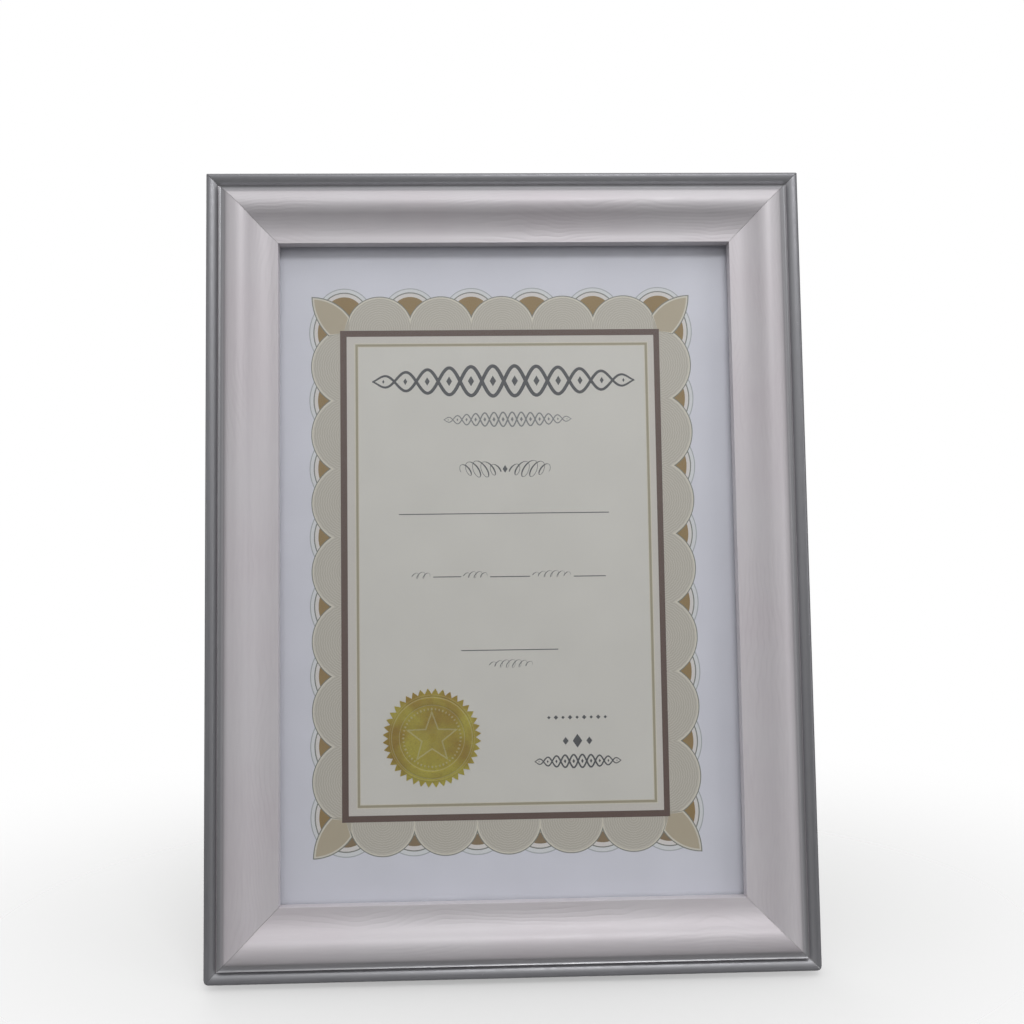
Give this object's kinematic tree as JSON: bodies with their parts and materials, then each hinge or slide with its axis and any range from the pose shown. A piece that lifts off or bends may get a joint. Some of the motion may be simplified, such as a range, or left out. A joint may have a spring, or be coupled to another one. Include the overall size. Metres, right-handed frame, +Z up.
{
  "type": "standing picture frame",
  "caption": "Mitred picture frame for an A4 sheet, with glass, fibreboard back, turn buttons, hanging rings and a hinged strut, standing on a table and leaning back.",
  "frame": {"origin": "on the table, midway between the front and the back of the leaning frame and midway across it", "axes": "+Z up from the table, -Y towards the viewer, +X to the viewer's right"},
  "size_m": [0.263, 0.1044, 0.3411],
  "materials": {
    "moulding": "satin pearl over fine embossed grain, with a grey outer bead",
    "steel": "bright zinc plate",
    "pane": "clear and polished",
    "sheet": "smooth card, printed",
    "fibreboard": "plain pressed fibreboard"
  },
  "bodies": {
    "frame": {"rail_top": "moulding", "rail_bottom": "moulding", "rail_left": "moulding", "rail_right": "moulding", "corner_v_nails": "steel", "glazing_pane": "pane", "insert_sheet": "sheet", "backing_board": "fibreboard", "hinge_board_leaf": "steel", "hinge_pin": "steel", "hinge_board_rivets": "steel", "turn_button_screws": "steel", "hanger_strap_upright": "steel", "hanger_strap_sideways": "steel", "hanger_rivets": "steel"},
    "strut": {"strut": "fibreboard", "hinge_strut_leaf": "steel", "strut_rivets": "steel"},
    "turn_button_top_left": {"turn_button_top_left": "steel"},
    "turn_button_top_right": {"turn_button_top_right": "steel"},
    "turn_button_bottom_left": {"turn_button_bottom_left": "steel"},
    "turn_button_bottom_right": {"turn_button_bottom_right": "steel"},
    "turn_button_left_upper": {"turn_button_left_upper": "steel"},
    "turn_button_left_lower": {"turn_button_left_lower": "steel"},
    "turn_button_right_upper": {"turn_button_right_upper": "steel"},
    "turn_button_right_lower": {"turn_button_right_lower": "steel"},
    "hanger_ring_upright": {"hanger_ring_upright": "steel"},
    "hanger_ring_sideways": {"hanger_ring_sideways": "steel"}
  },
  "joints": [
    {"name": "strut_hinge", "type": "hinge", "parent": "frame", "child": "strut", "pos_m": [0, 0.02373, 0.22249], "axis": [1, 0, 0], "range_deg": [-20, 0]},
    {"name": "turn_button_top_left_turn", "type": "hinge", "parent": "frame", "child": "turn_button_top_left", "pos_m": [-0.07101, 0.04708, 0.31718], "axis": [0, 0.9659, -0.2588], "continuous": true},
    {"name": "turn_button_top_right_turn", "type": "hinge", "parent": "frame", "child": "turn_button_top_right", "pos_m": [0.07101, 0.04708, 0.31718], "axis": [0, 0.9659, -0.2588], "continuous": true},
    {"name": "turn_button_bottom_left_turn", "type": "hinge", "parent": "frame", "child": "turn_button_bottom_left", "pos_m": [-0.07101, -0.03237, 0.02064], "axis": [0, 0.9659, -0.2588], "continuous": true},
    {"name": "turn_button_bottom_right_turn", "type": "hinge", "parent": "frame", "child": "turn_button_bottom_right", "pos_m": [0.07101, -0.03237, 0.02064], "axis": [0, 0.9659, -0.2588], "continuous": true},
    {"name": "turn_button_left_upper_turn", "type": "hinge", "parent": "frame", "child": "turn_button_left_upper", "pos_m": [-0.11, 0.03181, 0.26019], "axis": [0, 0.9659, -0.2588], "continuous": true},
    {"name": "turn_button_left_lower_turn", "type": "hinge", "parent": "frame", "child": "turn_button_left_lower", "pos_m": [-0.11, -0.0171, 0.07763], "axis": [0, 0.9659, -0.2588], "continuous": true},
    {"name": "turn_button_right_upper_turn", "type": "hinge", "parent": "frame", "child": "turn_button_right_upper", "pos_m": [0.11, 0.03181, 0.26019], "axis": [0, 0.9659, -0.2588], "continuous": true},
    {"name": "turn_button_right_lower_turn", "type": "hinge", "parent": "frame", "child": "turn_button_right_lower", "pos_m": [0.11, -0.0171, 0.07763], "axis": [0, 0.9659, -0.2588], "continuous": true},
    {"name": "upright_ring_swing", "type": "hinge", "parent": "frame", "child": "hanger_ring_upright", "pos_m": [0, 0.0386, 0.28166], "axis": [1, 0, 0], "range_deg": [-13, 163]},
    {"name": "sideways_ring_swing", "type": "hinge", "parent": "frame", "child": "hanger_ring_sideways", "pos_m": [0.0815, 0.00832, 0.16865], "axis": [0, 0.2588, 0.9659], "range_deg": [-88, 88]}
  ]
}
